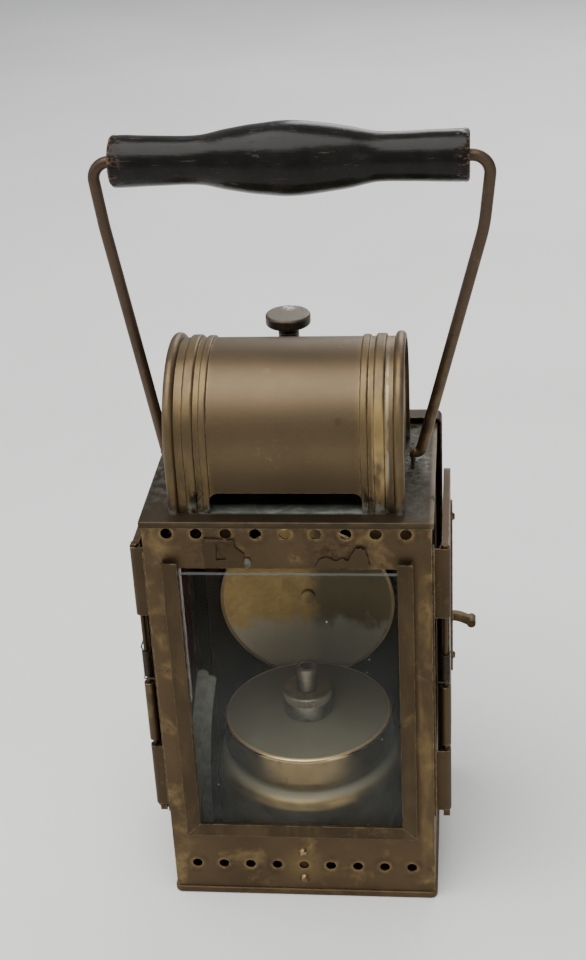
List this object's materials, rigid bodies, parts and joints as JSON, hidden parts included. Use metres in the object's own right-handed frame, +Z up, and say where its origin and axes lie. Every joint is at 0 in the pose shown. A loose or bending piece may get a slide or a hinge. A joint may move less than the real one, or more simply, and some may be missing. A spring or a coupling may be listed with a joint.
{
  "type": "hand lantern",
  "caption": "Sheet-brass box lantern with an arched hood, glazed front, sprung side shutters, rear door, oil burner and a wire bail with a turned wooden grip.",
  "frame": {"origin": "under the middle of the base, on the surface that the lantern stands on", "axes": "+Z up towards the grip, +Y from the front window to the rear door, +X to the right seen from the front"},
  "size_m": [0.1509, 0.0965, 0.3207],
  "materials": {
    "case_brass": "aged sheet brass, brown with golden rubs",
    "roof_brass": "grey-brown with pale green bloom and old solder",
    "hood_brass": "satin brown with soft golden sheen",
    "channel_brass": "aged folded strip",
    "clear_glass": "thin clear sheet, dusty",
    "red_glass": "coloured sheet",
    "green_glass": "coloured sheet",
    "knob_nickel": "dull worn nickel",
    "damper_brass": "sooty",
    "bail_wire": "brown oxidised wire",
    "grip_wood": "glossy black paint, chipped",
    "shutter_brass": "aged sheet",
    "hinge_brass": "aged",
    "spring_steel": "dull wire",
    "door_brass": "aged sheet",
    "reflector_brass": "worn polished dish",
    "tank_brass": "greyed satin",
    "burner_nickel": "worn nickel",
    "wick_cotton": "woven, charred tip"
  },
  "bodies": {
    "case": {"front_panel": "case_brass", "left_wall": "case_brass", "right_wall": "case_brass", "base_pan": "case_brass", "tank_stop": "case_brass", "front_rivets": "case_brass", "roof_plate": "roof_brass", "bail_lug_left": "roof_brass", "bail_lug_right": "roof_brass", "hood_barrel": "hood_brass", "hood_end_left": "hood_brass", "hood_end_right": "hood_brass", "chimney_collar": "hood_brass", "channel_left": "channel_brass", "channel_right": "channel_brass", "channel_low": "channel_brass", "pane_clip_left": "channel_brass", "pane_clip_right": "channel_brass", "left_pane_frame": "channel_brass", "right_pane_frame": "channel_brass", "front_glass": "clear_glass", "left_pane": "red_glass", "right_pane": "green_glass", "knob_bush": "knob_nickel", "left_hinge_leaf": "hinge_brass", "right_hinge_leaf": "hinge_brass", "left_hinge_pin": "hinge_brass", "right_hinge_pin": "hinge_brass", "door_hinge_case": "hinge_brass", "door_pins": "hinge_brass", "left_spring": "spring_steel", "right_spring": "spring_steel", "tank_clip": "spring_steel", "tank_body": "tank_brass", "tank_top": "tank_brass", "wick_tube": "burner_nickel", "wick_ring": "burner_nickel", "wick": "wick_cotton"},
    "bail": {"bail_wire": "bail_wire"},
    "grip": {"grip": "grip_wood"},
    "damper": {"knob": "knob_nickel", "damper_plate": "damper_brass"},
    "right_shutter": {"right_flap": "shutter_brass", "right_pull": "shutter_brass", "right_pull_rivets": "shutter_brass"},
    "left_shutter": {"left_flap": "shutter_brass", "left_pull": "shutter_brass", "left_pull_rivets": "shutter_brass"},
    "door": {"rear_door": "door_brass", "door_hinge_leaf": "hinge_brass", "reflector": "reflector_brass", "reflector_stud": "reflector_brass"},
    "latch": {"latch_button": "door_brass", "latch_tongue": "door_brass"},
    "burner": {"burner_collar": "burner_nickel"}
  },
  "joints": [
    {"name": "bail_swing", "type": "hinge", "parent": "case", "child": "bail", "pos_m": [0, 0.004, 0.1865], "axis": [1, 0, 0], "range_deg": [-80, 80]},
    {"name": "grip_spin", "type": "hinge", "parent": "bail", "child": "grip", "pos_m": [0.0031, 0.004, 0.307], "axis": [1, 0, 0], "continuous": true},
    {"name": "damper_turn", "type": "hinge", "parent": "case", "child": "damper", "pos_m": [-0.002, 0.02, 0.2], "axis": [0, 0, -1], "range_deg": [0, 65]},
    {"name": "right_shutter_swing", "type": "hinge", "parent": "case", "child": "right_shutter", "pos_m": [0.0598, -0.037, 0.101], "axis": [0, 0, -1], "range_deg": [0, 110], "stiffness_Nm_per_rad": 0.01, "springref_deg": -34.38, "deforming": ["right_spring"]},
    {"name": "left_shutter_swing", "type": "hinge", "parent": "case", "child": "left_shutter", "pos_m": [-0.0598, -0.037, 0.101], "axis": [0, 0, 1], "range_deg": [0, 110], "stiffness_Nm_per_rad": 0.01, "springref_deg": -34.38, "deforming": ["left_spring"]},
    {"name": "door_swing", "type": "hinge", "parent": "case", "child": "door", "pos_m": [-0.06, 0.0385, 0.094], "axis": [0, 0, 1], "range_deg": [0, 95]},
    {"name": "latch_turn", "type": "hinge", "parent": "door", "child": "latch", "pos_m": [0.0435, 0.0456, 0.095], "axis": [0, 1, 0], "range_deg": [0, 90]},
    {"name": "burner_turn", "type": "hinge", "parent": "case", "child": "burner", "pos_m": [0, 0.001, 0.069], "axis": [0, 0, 1], "continuous": true}
  ]
}
